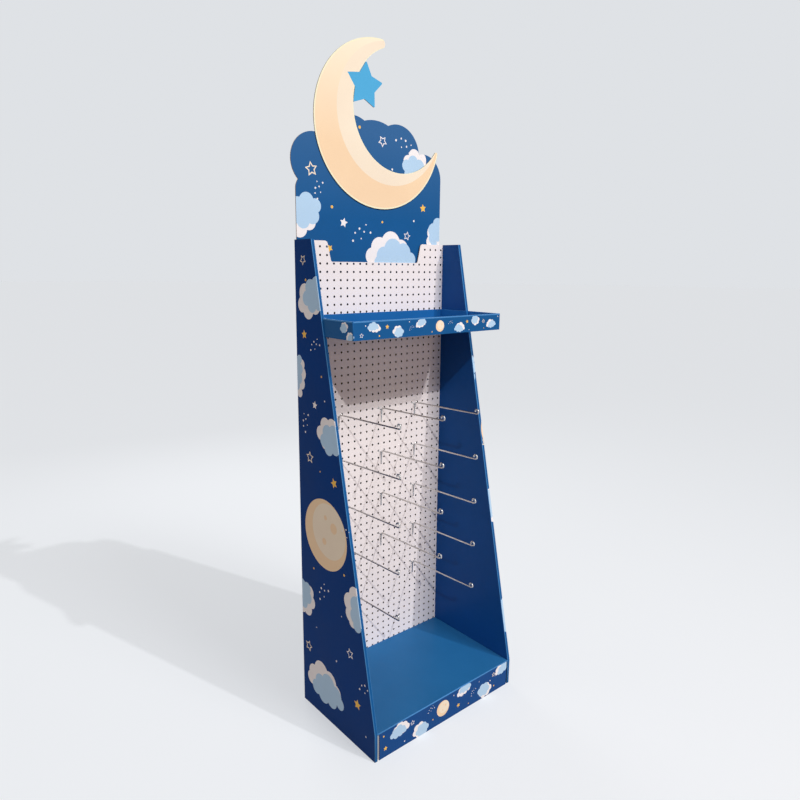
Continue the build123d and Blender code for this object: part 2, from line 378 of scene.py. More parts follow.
def surface(name):
    """Material by name, made the first time it is asked for."""
    if name in bpy.data.materials:
        return bpy.data.materials[name]
    colours = bpy.context.scene.stand_inks
    if name == "flute":
        return cut_edge_surface(name, colours.flute)
    if name == "wire":
        return wire_surface(name, colours.wire)
    roughness = 0.42
    contrast = 0.05
    gloss_level = 0.1
    flutes_across = (1.0, 1.0, 0.0)
    if name == "kraft":
        roughness = 0.8
        contrast = 0.12
    if name == "board":
        roughness = 0.5
        contrast = 0.03
    if name == "panel":
        roughness = 0.34
        flutes_across = (1.0, 0.0, 0.0)
    if name == "deep":
        gloss_level = 0.03
    if name in ("night", "deep", "lining", "inside", "panel", "crease"):
        contrast = 0.08
    # Night blue fades to a painted sheen at the header's top; peach fades to the print's paler tip
    fades = {
        "peach": Fade(colours.glow, 1.8, 2.1),
        "night": Fade(colours.painted_sheen_blue, 1.58, 1.84),
    }
    colour = getattr(colours, name)
    fade = fades.get(name)
    return card_surface(name, colour, roughness, contrast, gloss_level, flutes_across, fade)


# A motif is one colour of the print: outlines that it fills, and windows cut out of them
Motif = namedtuple("Motif", "ink outlines windows")


def disc(x, y, radius, sides=32):
    """Outline of a disc."""
    angles = [2 * math.pi * step / sides for step in range(sides)]
    return [(x + radius * math.cos(angle), y + radius * math.sin(angle)) for angle in angles]


def pointed(x, y, radius, waist, points, turn):
    """Outline of a star with straight sides."""
    outline = []
    for step in range(2 * points):
        angle = turn + math.pi * step / points
        reach = radius if step % 2 == 0 else waist
        outline.append((x + reach * math.cos(angle), y + reach * math.sin(angle)))
    return outline


def full_star(x, y, radius, turn=0.2, colour="gold"):
    """Small filled star."""
    return [Motif(colour, [pointed(x, y, radius, radius * 0.5, 5, turn)], [])]


def line_star(x, y, radius, turn=0.5, colour="cream"):
    """Small star drawn as a line."""
    outer = pointed(x, y, radius, radius * 0.52, 5, turn)
    inner = pointed(x, y, radius * 0.7, radius * 0.34, 5, turn)
    return [Motif(colour, [outer], [inner])]


def dots(places, radius, colour="white"):
    """Small dots, some of them smaller."""
    outlines = []
    for index, (x, y) in enumerate(places):
        outlines.append(disc(x, y, radius * (1 - 0.18 * (index % 3)), 12))
    return [Motif(colour, outlines, [])]


def star_dust(x, y, spread, turn=0.0):
    """A loose group of dots."""
    loose = (
        (-1.0, -0.2), (-0.55, 0.3), (-0.15, -0.35), (0.0, 0.45),
        (0.35, 0.05), (0.75, 0.5), (0.95, -0.25),
    )
    places = []
    for across, up in loose:
        places.append((
            x + spread * (across * math.cos(turn) - up * math.sin(turn)),
            y + spread * (across * math.sin(turn) + up * math.cos(turn)),
        ))
    return dots(places, min(spread * 0.11, 0.0036))


# Puffs of a cloud: place and radius of each, for a cloud one unit wide
long_puffs = (
    (-0.36, -0.04, 0.14), (-0.2, 0.09, 0.18), (0.05, 0.15, 0.21), (0.27, 0.05, 0.17),
    (0.38, -0.06, 0.12), (0.12, -0.1, 0.16), (-0.14, -0.1, 0.17), (0.0, 0.0, 0.17),
)
round_puffs = (
    (-0.3, 0.02, 0.17), (-0.1, 0.2, 0.19), (0.16, 0.18, 0.2), (0.32, -0.02, 0.17),
    (0.14, -0.19, 0.19), (-0.14, -0.17, 0.18), (0.02, 0.0, 0.2),
)


def puffs(shape, x, y, width, turn, flip):
    """Outlines of a cloud's puffs."""
    outlines = []
    for across, up, radius in shape:
        side = flip * across
        outlines.append(disc(
            x + width * (side * math.cos(turn) - up * math.sin(turn)),
            y + width * (side * math.sin(turn) + up * math.cos(turn)),
            width * radius,
        ))
    return outlines


def band(low, high):
    """Level band right across a card."""
    return [(-1.0, low), (1.0, low), (1.0, high), (-1.0, high)]


def cloud(x, y, width, shape=long_puffs, turn=0.0, lean=-0.6, flip=1):
    """Pale blue cloud in front of a white one."""
    behind_x = x + 0.17 * width * math.cos(lean)
    behind_y = y + 0.17 * width * math.sin(lean)
    return [
        Motif("white", puffs(shape, behind_x, behind_y, width, turn, -flip), []),
        Motif("cloud", puffs(shape, x, y, width * 0.93, turn, flip), []),
    ]


def full_moon(x, y, radius):
    """Round moon: cream disc with a peach crescent of shade and three craters."""
    lit = disc(x + 0.16 * radius, y + 0.14 * radius, radius * 0.78, 48)
    return [
        Motif("peach", [disc(x, y, radius, 56)], []),
        Motif("cream", [lit], []),
        Motif("peach", [
            disc(x + 0.4 * radius, y + 0.3 * radius, radius * 0.15, 20),
            disc(x - 0.05 * radius, y - 0.2 * radius, radius * 0.1, 16),
            disc(x + 0.02 * radius, y + 0.5 * radius, radius * 0.07, 14),
        ], []),
    ]


def header_print():
    """Night sky of the header card, in X and Z."""
    sky = []
    sky += cloud(0.085, 1.462, 0.19, long_puffs, 0.05, 2.6, -1)
    sky += cloud(-0.262, 1.592, 0.135, round_puffs, 0.5, -2.2)
    sky += cloud(0.162, 1.746, 0.12, round_puffs, -0.3, 0.9)
    sky += cloud(0.272, 1.556, 0.12, long_puffs, 1.1, -1.9, -1)
    sky += full_star(-0.122, 1.566, 0.015, 0.1, "white")
    sky += full_star(0.205, 1.628, 0.014, 0.4)
    sky += full_star(-0.175, 1.488, 0.012, 0.8)
    sky += line_star(-0.236, 1.712, 0.022, 0.5)
    sky += line_star(0.03, 1.82, 0.018, 0.9, "white")
    sky += line_star(0.135, 1.535, 0.015, 0.1, "white")
    sky += star_dust(-0.055, 1.535, 0.038, 0.4)
    sky += star_dust(0.118, 1.82, 0.034, -0.5)
    sky += star_dust(-0.212, 1.656, 0.026, 1.2)
    sky += star_dust(0.222, 1.485, 0.03, 0.2)
    sky += dots([(-0.165, 1.61), (0.03, 1.575), (0.235, 1.82), (-0.06, 1.85)], 0.0046, "gold")
    sky += dots([(0.07, 1.74), (-0.285, 1.52), (-0.185, 1.78), (0.165, 1.585), (0.0, 1.62)], 0.0034)
    return sky


def left_wall_print():
    """Night sky of the left wall as seen from outside: forward is to the right."""
    sky = []
    sky += full_moon(-0.052, 0.635, 0.112)
    sky += cloud(-0.092, 1.352, 0.14, round_puffs, 0.3, -2.6)
    sky += cloud(-0.192, 1.118, 0.12, long_puffs, 1.4, -0.9)
    sky += cloud(-0.012, 0.938, 0.13, round_puffs, 0.1, 2.4, -1)
    sky += cloud(0.122, 0.452, 0.15, long_puffs, 1.2, 2.7)
    sky += cloud(-0.188, 0.386, 0.13, round_puffs, 0.9, -0.5)
    sky += cloud(-0.052, 0.098, 0.19, long_puffs, 0.1, 2.3)
    sky += full_star(-0.148, 1.236, 0.014, 0.4)
    sky += full_star(-0.098, 1.03, 0.013, 0.2, "white")
    sky += full_star(-0.002, 0.812, 0.016, 0.7)
    sky += full_star(0.108, 0.145, 0.017, 0.3)
    sky += line_star(-0.148, 1.452, 0.016, 0.9)
    sky += line_star(-0.13, 0.862, 0.02, 0.3)
    sky += line_star(0.072, 0.296, 0.018, 0.6, "white")
    sky += line_star(-0.158, 0.212, 0.02, 0.1)
    sky += star_dust(-0.092, 1.208, 0.026, 0.4)
    sky += star_dust(-0.15, 0.968, 0.03, 1.3)
    sky += star_dust(0.068, 0.672, 0.03, -0.4)
    sky += star_dust(-0.068, 0.438, 0.034, 0.8)
    sky += star_dust(0.148, 0.216, 0.03, 0.2)
    gold_places = [(-0.135, 1.395), (-0.06, 1.12), (-0.075, 0.83), (0.045, 0.54), (-0.12, 0.5)]
    sky += dots(gold_places, 0.004, "gold")
    white_places = [
        (-0.17, 1.31), (-0.045, 1.05), (0.03, 0.4), (0.0, 0.235), (0.15, 0.06), (-0.11, 0.3),
    ]
    sky += dots(white_places, 0.0032)
    return sky


def right_wall_print():
    """Night sky of the right wall as seen from outside: forward is to the left."""
    sky = []
    sky += full_moon(0.062, 0.862, 0.1)
    sky += cloud(0.118, 1.262, 0.13, round_puffs, 0.8, -0.6)
    sky += cloud(-0.018, 1.092, 0.13, long_puffs, 1.1, 2.8, -1)
    sky += cloud(0.178, 1.012, 0.11, round_puffs, 0.2, 2.2)
    sky += cloud(-0.098, 0.642, 0.14, round_puffs, 0.5, -0.8, -1)
    sky += cloud(0.152, 0.542, 0.15, long_puffs, 0.2, -2.5)
    sky += cloud(-0.138, 0.252, 0.16, long_puffs, 0.9, 0.5)
    sky += cloud(0.092, 0.142, 0.18, long_puffs, -0.1, -0.7, -1)
    sky += full_star(0.152, 1.402, 0.014, 0.3)
    sky += full_star(0.052, 0.702, 0.016, 0.5)
    sky += full_star(-0.04, 0.412, 0.014, 0.1, "white")
    sky += line_star(0.132, 1.142, 0.018, 0.4)
    sky += line_star(-0.032, 0.842, 0.017, 0.9)
    sky += line_star(0.012, 0.292, 0.02, 0.2)
    sky += star_dust(0.166, 1.322, 0.026, 0.6)
    sky += star_dust(0.062, 1.012, 0.028, -0.3)
    sky += star_dust(0.032, 0.512, 0.036, 0.9)
    sky += star_dust(0.162, 0.322, 0.03, 0.1)
    gold_places = [(0.13, 1.46), (0.02, 1.2), (-0.06, 0.95), (0.16, 0.72), (0.09, 0.4)]
    sky += dots(gold_places, 0.004, "gold")
    sky += dots([(0.17, 1.2), (-0.02, 0.75), (0.05, 0.6), (-0.08, 0.5), (-0.02, 0.1)], 0.0032)
    return sky


def fascia_print():
    """Night sky of the base tray's front, in X and Z."""
    sky = []
    sky += full_moon(-0.018, 0.05, 0.027)
    sky += cloud(-0.205, 0.058, 0.07, long_puffs, 0.0, 0.6)
    sky += cloud(-0.108, 0.018, 0.062, round_puffs, 0.2, 2.6)
    sky += cloud(0.082, 0.078, 0.06, long_puffs, 0.1, -2.4, -1)
    sky += cloud(0.172, 0.03, 0.066, round_puffs, 0.0, -0.5)
    sky += cloud(0.27, 0.07, 0.064, long_puffs, 0.3, 2.7)
    sky += full_star(-0.255, 0.028, 0.008, 0.2)
    sky += full_star(0.052, 0.028, 0.008, 0.6)
    sky += line_star(-0.148, 0.062, 0.009, 0.4, "white")
    sky += line_star(0.222, 0.066, 0.009, 0.1)
    sky += star_dust(-0.07, 0.07, 0.014, 0.3)
    sky += star_dust(0.122, 0.045, 0.014, 0.8)
    sky += dots([(-0.262, 0.072), (-0.062, 0.03), (0.1, 0.012), (0.225, 0.022)], 0.003, "gold")
    sky += dots([(-0.18, 0.014), (0.03, 0.074), (0.15, 0.07), (0.205, 0.05)], 0.0022)
    return sky


def shelf_print(top):
    """Night sky round the shelf tray's front and wings, in X and Z, with the wings laid flat."""
    sky = []
    sky += full_moon(0.032, 1.262, 0.017)
    sky += cloud(-0.335, 1.268, 0.036, round_puffs, 0.2, 0.6)
    sky += cloud(-0.302, 1.244, 0.034, long_puffs, 0.4, 2.4)
    sky += cloud(-0.222, 1.272, 0.042, long_puffs, 0.0, -0.6)
    sky += cloud(-0.128, 1.252, 0.04, round_puffs, 0.1, 2.6, -1)
    sky += cloud(-0.042, 1.276, 0.038, long_puffs, 0.2, -2.4)
    sky += cloud(0.112, 1.25, 0.042, long_puffs, -0.1, 0.7, -1)
    sky += cloud(0.182, 1.274, 0.036, round_puffs, 0.3, -0.5)
    sky += cloud(0.262, 1.256, 0.04, long_puffs, 0.2, 2.7)
    sky += cloud(0.342, 1.268, 0.036, round_puffs, 0.1, -0.6)
    sky += full_star(-0.172, 1.27, 0.007, 0.3)
    sky += full_star(0.148, 1.27, 0.006, 0.6)
    sky += line_star(-0.262, 1.25, 0.007, 0.2, "white")
    sky += line_star(0.222, 1.268, 0.007, 0.5)
    sky += star_dust(-0.082, 1.262, 0.009, 0.5)
    sky += star_dust(0.076, 1.27, 0.009, 0.1)
    sky += dots([(-0.2, 1.246), (0.0, 1.246), (0.225, 1.246)], 0.0024, "gold")
    sky += dots([(-0.248, 1.276), (-0.09, 1.28), (0.158, 1.244), (0.29, 1.28)], 0.0018)
    # Lighter strip along the top fold: worn edge and painted highlight
    sky.append(Motif("crease", [band(top - 3.5 * millimetre, top + 1 * millimetre)], []))
    return sky


def topper_print(low, high):
    """Shading of the crescent and the blue star, in X and Z, placed by the topper's box."""
    moon_radius = 249 * millimetre
    bite_radius = 186 * millimetre
    outer_line = 4.2 * millimetre
    inner_line = 2.2 * millimetre
    moon = (low.x + moon_radius, high.z - moon_radius)
    bite = (moon[0] + 78 * millimetre, moon[1] + 52.5 * millimetre)
    lit_middle = (moon[0] + 43 * millimetre, moon[1] + 37 * millimetre)
    star_radius = 70 * millimetre
    star_out = bite_radius - star_radius + 35.5 * millimetre
    star_angle = math.radians(158.7)
    star = (bite[0] + star_out * math.cos(star_angle), bite[1] + star_out * math.sin(star_angle))
    window = disc(*bite, bite_radius + inner_line, 96)
    body = disc(*moon, moon_radius - outer_line, 128)
    lit = disc(*lit_middle, 211 * millimetre, 112)
    around = disc(*moon, 2 * moon_radius, 64)
    star_waist = star_radius * 0.565
    star_turn = math.radians(86)
    blue_star = pointed(*star, star_radius * 1.01, star_waist, 5, star_turn)
    return [
        Motif("peach", [body], [window]),
        Motif("cream", [lit], [window]),
        Motif("rim", [around], [body]),
        Motif("star", [blue_star], []),
    ]


class Sheet:
    """A flat face of card, and where the flat artwork lies on it."""

    def __init__(self, origin, across, up, shift=(0.0, 0.0)):
        self.origin = Vector(origin)
        self.across = Vector(across)
        self.up = Vector(up)
        self.shift = Vector(shift)

    def flat(self, point):
        """Place of a point of the face on the artwork."""
        offset = point - self.origin
        return Vector((offset.dot(self.across), offset.dot(self.up))) + self.shift

    def solid(self, place):
        """Point of the face under a place of the artwork."""
        offset = Vector(place) - self.shift
        return self.origin + offset.x * self.across + offset.y * self.up


def front_sheet(low):
    """Front face of a card whose lowest corner is given, with the artwork in X and Z."""
    return Sheet((0, low.y, 0), (1, 0, 0), (0, 0, 1))


def twice_area(outline):
    """Twice the area of an outline, positive when it runs anticlockwise."""
    total = 0.0
    for (x1, y1), (x2, y2) in zip(outline, outline[1:] + outline[:1]):
        total += x1 * y2 - x2 * y1
    return total


def holds(outline, place):
    """True when a place lies inside an outline."""
    inside = False
    x, y = place
    for (x1, y1), (x2, y2) in zip(outline, outline[1:] + outline[:1]):
        if (y1 > y) != (y2 > y) and x < x1 + (y - y1) / (y2 - y1) * (x2 - x1):
            inside = not inside
    return inside


def ink_at(motifs, place, ground):
    """Ink of the topmost motif at a place."""
    for motif in reversed(motifs):
        in_outline = any(holds(outline, place) for outline in motif.outlines)
        in_window = any(holds(window, place) for window in motif.windows)
        if in_outline and not in_window:
            return motif.ink
    return ground


class CardPiece:
    """Folded or cut card: a merged copy of its CAD mesh, whose faces are given their print."""

    def __init__(self, node):
        self.node = node
        self.low, self.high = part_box(node)
        self.mesh = bmesh.new()
        self.mesh.from_mesh(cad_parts[node].data)
        bmesh.ops.remove_doubles(self.mesh, verts=self.mesh.verts, dist=merge_distance)
        self.mesh.normal_update()
        self.finishes = []
        self.flat = set()

    def finish_index(self, finish):
        """Index of a finish on this piece."""
        if finish not in self.finishes:
            self.finishes.append(finish)
        return self.finishes.index(finish)

    def paint(self, finish, test):
        """Give a finish to every face that passes a test of its middle and its normal."""
        index = self.finish_index(finish)
        for face in self.mesh.faces:
            if test(face.calc_center_median(), face.normal):
                face.material_index = index

    def faces_on(self, normal, point):
        """Faces that lie in the plane through a point and look along a normal."""
        same_way = 0.99995
        direction = Vector(normal).normalized()
        level = Vector(point).dot(direction)
        return [
            face for face in self.mesh.faces
            if face.normal.dot(direction) > same_way
            and abs(face.calc_center_median().dot(direction) - level) < 2 * level_gap
        ]

    def print_on(self, normal, sheet, motifs, ground):
        """Divide the faces of a plane along the print's outlines, and give each part its ink."""
        least_step = 1e-7
        faces = self.faces_on(normal, sheet.origin)
        if not faces:
            raise RuntimeError(f"{self.node} has no face to print at {sheet.origin}")
        chosen = set(faces)
        rim = [edge for edge in {e for face in faces for e in face.edges}
               if sum(face in chosen for face in edge.link_faces) == 1]
        points = []
        outlines = []

        def add_outline(outline):
            if twice_area(outline) < 0:
                outline = outline[::-1]
            start = len(points)
            points.extend(Vector(place) for place in outline)
            outlines.append(list(range(start, len(points))))
            return len(outlines) - 1

        card = set()
        for face in faces:
            card.add(add_outline([tuple(sheet.flat(vertex.co)) for vertex in face.verts]))
        layers = []
        for motif in motifs:
            filled = {add_outline(outline) for outline in motif.outlines}
            cut_out = {add_outline(window) for window in motif.windows}
            layers.append((self.finish_index(motif.ink), filled, cut_out))
        divided = delaunay_2d_cdt(points, [], outlines, 0, least_step, True)
        places, _, triangles, _, _, sources = divided
        bmesh.ops.delete(self.mesh, geom=faces, context="FACES_ONLY")
        across_first = sheet.across.cross(sheet.up).dot(Vector(normal)) > 0
        corners = {}
        ground_index = self.finish_index(ground)
        printed = []
        for triangle, owners in zip(triangles, sources):
            owners = set(owners)
            if not owners & card:
                continue
            for index in triangle:
                if index not in corners:
                    corners[index] = self.mesh.verts.new(sheet.solid(places[index]))
            order = triangle if across_first else triangle[::-1]
            face = self.mesh.faces.new([corners[index] for index in order])
            face.material_index = ground_index
            for finish, filled, cut_out in layers:
                if owners & filled and not owners & cut_out:
                    face.material_index = finish
            printed.append(face)
        self.flat.update(printed)
        self.close_rim(rim, printed)

    def close_rim(self, rim, printed):
        """Give a printed face's neighbours the points that the print has added along its rim."""
        open_edges = {edge for face in printed for edge in face.edges if edge.is_boundary}
        loose = {vertex for edge in open_edges for vertex in edge.verts}
        for edge in rim:
            start = edge.verts[0]
            end = edge.verts[1]
            along = end.co - start.co
            length = along.length
            stops = []
            for vertex in loose:
                foot, share = intersect_point_line(vertex.co, start.co, end.co)
                between = level_gap < share * length < length - level_gap
                if between and (foot - vertex.co).length < merge_distance:
                    stops.append(share)
            done = 0.0
            for share in sorted(stops):
                edge, corner = bmesh.utils.edge_split(edge, start, (share - done) / (1 - done))
                start = corner
                done = share
                edge = self.mesh.edges.get((corner, end))
        bmesh.ops.remove_doubles(self.mesh, verts=self.mesh.verts, dist=merge_distance)
        self.flat = {face for face in self.flat if face.is_valid}

    def finish(self, name, slot):
        """Make the object, round the shading of bends and cut curves, hide the CAD part and attach
        the object to the root body.
        """
        widest_strip = 12 * millimetre
        least_turn = 0.03
        most_turn = 0.7
        self.mesh.normal_update()
        for face in self.mesh.faces:
            longest = max(edge.calc_length() for edge in face.edges)
            narrow = 2 * face.calc_area() < widest_strip * longest
            turns = any(
                least_turn < edge.calc_face_angle(0.0) < most_turn
                for edge in face.edges if len(edge.link_faces) == 2)
            face.smooth = narrow and turns and face not in self.flat
        data = bpy.data.meshes.new(name)
        self.mesh.to_mesh(data)
        self.mesh.free()
        for layer in ("custom_normal", "sharp_edge"):
            if layer in data.attributes:
                data.attributes.remove(data.attributes[layer])
        for finish in self.finishes:
            data.materials.append(surface(finish))
        piece = new_object(name, data)
        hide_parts(self.node)
        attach(piece, "root")


def crossings(motifs, start, along, length):
    """Distances along a fold at which the outlines of the print cross it."""
    end = start + along * length
    found = []
    for motif in motifs:
        for outline in motif.outlines + motif.windows:
            for first, second in zip(outline, outline[1:] + outline[:1]):
                meeting = intersect_line_line_2d(start, end, Vector(first), Vector(second))
                if meeting is not None:
                    found.append((meeting - start).length)
    return sorted(found)


class StandBody(bpy.types.Operator):
    """Print the body: both walls outside and the back on a darker blue of painted shade, their
    front strips, folds lighter with wear and painted highlight, and plain inner faces darkened as
    painted shade
    """

    bl_idname = "stand.body"
    bl_label = "Body"

    def execute(self, context):
        card = CardPiece("body_wrap")
        low, high = card.low, card.high
        wall = 10.5 * millimetre
        back_folds = high.y - 3.5 * millimetre
        front_folds = high.y - 20 * millimetre
        sideways = 0.99
        tops = [v.co for v in card.mesh.verts if v.co.z > high.z - level_gap]
        top_front = min(corner.y for corner in tops)
        kink = max(v.co.z for v in card.mesh.verts if v.co.y < low.y + level_gap)
        card.paint("kraft", lambda middle, normal: True)
        card.paint("flute", lambda middle, normal: abs(normal.z) > facing)
        # Back outside in the darker blue of painted shade
        card.paint("deep", lambda middle, normal: normal.y > turning and middle.y > back_folds)
        # Rounded front folds in the lighter fold blue: wear and painted highlight
        card.paint("crease", lambda middle, normal: (
            normal.y < -turning and turning < abs(normal.x) < sideways and middle.y < front_folds))
        # Inner wall faces in the darker blue of painted shade
        card.paint("lining", lambda middle, normal: (
            (normal.x > facing and abs(middle.x - low.x - wall) < level_gap)
            or (normal.x < -facing and abs(middle.x - high.x + wall) < level_gap)))
        for side, motifs in ((-1, left_wall_print()), (1, right_wall_print())):
            edge_x = low.x if side < 0 else high.x
            outside = Sheet((edge_x, 0, 0), (0, side, 0), (0, 0, 1))
            # Wall print on the darker blue of painted shade
            card.print_on((side, 0, 0), outside, motifs, "deep")
            runs = (
                (Vector((edge_x, low.y, 0)), Vector((edge_x, low.y, kink))),
                (Vector((edge_x, low.y, kink)), Vector((edge_x, top_front, high.z))),
            )
            for bottom, top in runs:
                self.print_strip(card, outside, bottom, top, side, motifs)
        card.finish("printed_body", "printed_body")
        return {"FINISHED"}

    def print_strip(self, card, outside, bottom, top, side, motifs):
        """Carry the print of a wall round its front fold onto the strip."""
        up = (top - bottom).normalized()
        inward = Vector((-side, 0, 0))
        front = up.cross(inward) if side > 0 else inward.cross(up)
        if front.y > 0:
            front = -front
        start = outside.flat(bottom)
        end = outside.flat(top)
        along = (end - start).normalized()
        away = Vector((along.y, -along.x)) if side < 0 else Vector((-along.y, along.x))
        sheet = Sheet(
            bottom,
            up * along.x + inward * away.x,
            up * along.y + inward * away.y,
            start,
        )
        card.print_on(front, sheet, motifs, "night")
        self.print_fold(card, bottom, up, (top - bottom).length, start, along, side, motifs)

    def print_fold(self, card, bottom, up, length, start, along, side, motifs):
        """Cut the rounded fold where the print crosses it, and carry each ink over it."""
        fold_reach = 2.2 * millimetre
        spare = 1 * millimetre

        def on_fold(face):
            middle = face.calc_center_median()
            height = (middle - bottom).dot(up)
            aside = (middle - bottom - up * height).length
            follows = abs(face.normal.dot(up)) < turning and aside < fold_reach
            within = -spare < height < length + spare
            return follows and within and face not in card.flat

        for distance in crossings(motifs, start, along, length):
            faces = [face for face in card.mesh.faces if on_fold(face)]
            edges = {edge for face in faces for edge in face.edges}
            corners = {vertex for face in faces for vertex in face.verts}
            bmesh.ops.bisect_plane(
                card.mesh, geom=faces + list(edges) + list(corners), dist=merge_distance / 2,
                plane_co=bottom + up * distance, plane_no=up)
        for face in card.mesh.faces:
            if on_fold(face):
                height = (face.calc_center_median() - bottom).dot(up)
                place = start + along * height
                # Fold faces that no motif covers take the lighter fold blue: wear and painted
                # highlight
                face.material_index = card.finish_index(ink_at(motifs, tuple(place), "crease"))


class StandBase(bpy.types.Operator):
    """Print the base tray: plain floor panel, front fold lighter with wear and painted highlight,
    and printed fascia on a darker blue of painted shade
    """

    bl_idname = "stand.base"
    bl_label = "Base tray"

    def execute(self, context):
        card = CardPiece("base_tray")
        low, high = card.low, card.high
        fold_end = low.y + 3 * millimetre
        card.paint("kraft", lambda middle, normal: True)
        card.paint("flute", lambda middle, normal: abs(normal.x) > facing or middle.z < level_gap)
        card.paint("panel", lambda middle, normal: (
            normal.z > facing and middle.z > high.z - level_gap))
        # Front fold in the lighter fold blue: wear and painted highlight
        card.paint("crease", lambda middle, normal: (
            normal.y < -turning and normal.z > turning and middle.y < fold_end))
        # Fascia print on the darker blue of painted shade
        card.print_on((0, -1, 0), front_sheet(low), fascia_print(), "lining")
        card.finish("printed_base", "printed_base")
        return {"FINISHED"}


class StandShelf(bpy.types.Operator):
    """Print the shelf tray: printed front and wings, rims lighter with wear and painted highlight,
    and plain inside
    """

    bl_idname = "stand.shelf"
    bl_label = "Shelf tray"

    def execute(self, context):
        card = CardPiece("shelf_tray")
        low, high = card.low, card.high
        corner_end = low.y + 2 * millimetre
        level_share = 0.5
        motifs = shelf_print(high.z)
        card.paint("inside", lambda middle, normal: True)
        # Rim tops in the lighter fold blue: wear and painted highlight
        card.paint("crease", lambda middle, normal: (
            normal.z > facing and middle.z > high.z - level_gap))
        card.paint("night", lambda middle, normal: (
            middle.y < corner_end and abs(normal.z) < level_share))
        card.print_on((0, -1, 0), front_sheet(low), motifs, "night")
        for side, edge_x in ((-1, low.x), (1, high.x)):
            wing = Sheet((edge_x, low.y, 0), (0, side, 0), (0, 0, 1), (edge_x, 0))
            card.print_on((side, 0, 0), wing, motifs, "night")
        card.finish("printed_shelf", "printed_tray")
        return {"FINISHED"}


class StandHeader(bpy.types.Operator):
    """Print the header card, with bare liner behind and cut edges round it"""

    bl_idname = "stand.header"
    bl_label = "Header card"

    def execute(self, context):
        card = CardPiece("header_card")
        card.paint("flute", lambda middle, normal: True)
        card.paint("kraft", lambda middle, normal: normal.y > facing)
        card.print_on((0, -1, 0), front_sheet(card.low), header_print(), "night")
        card.finish("printed_header", "printed_header")
        return {"FINISHED"}


class StandTopper(bpy.types.Operator):
    """Print the crescent and star"""

    bl_idname = "stand.topper"
    bl_label = "Moon topper"

    def execute(self, context):
        card = CardPiece("moon_topper")
        card.paint("flute", lambda middle, normal: True)
        card.paint("kraft", lambda middle, normal: normal.y > facing)
        motifs = topper_print(card.low, card.high)
        card.print_on((0, -1, 0), front_sheet(card.low), motifs, "rim")
        card.finish("printed_topper", "printed_topper")
        return {"FINISHED"}


def new_object(name, data):
    """Object with some data, in the scene's collection."""
    made = bpy.data.objects.new(name, data)
    bpy.context.scene.collection.objects.link(made)
    return made


def new_tree(name, inputs):
    """Geometry tree with named inputs, the graph that adds to it, and the sockets of its inputs."""
    tree = bpy.data.node_groups.new(name, "GeometryNodeTree")
    tree.interface.new_socket("Geometry", in_out="INPUT", socket_type="NodeSocketGeometry")
    for label, kind in inputs:
        tree.interface.new_socket(label, in_out="INPUT", socket_type="NodeSocket" + kind)
    tree.interface.new_socket("Geometry", in_out="OUTPUT", socket_type="NodeSocketGeometry")
    graph = Graph(tree)
    given = graph.add("NodeGroupInput").outputs
    return tree, graph, given


def made_by(tree, name, data, values):
    """Object whose mesh is what a geometry tree makes of some data with the given input values."""
    piece = new_object(name, data)
    modifier = piece.modifiers.new(name, "NODES")
    modifier.node_group = tree
    for item in tree.interface.items_tree:
        if item.item_type == "SOCKET" and item.in_out == "INPUT" and item.name in values:
            modifier[item.identifier] = values[item.name]
    piece.update_tag()
    evaluated = piece.evaluated_get(bpy.context.evaluated_depsgraph_get())
    made = bpy.data.meshes.new_from_object(evaluated)
    made.name = name
    piece.modifiers.remove(modifier)
    piece.data = made
    if not made.polygons:
        raise RuntimeError(f"{name} came out empty")
    return piece


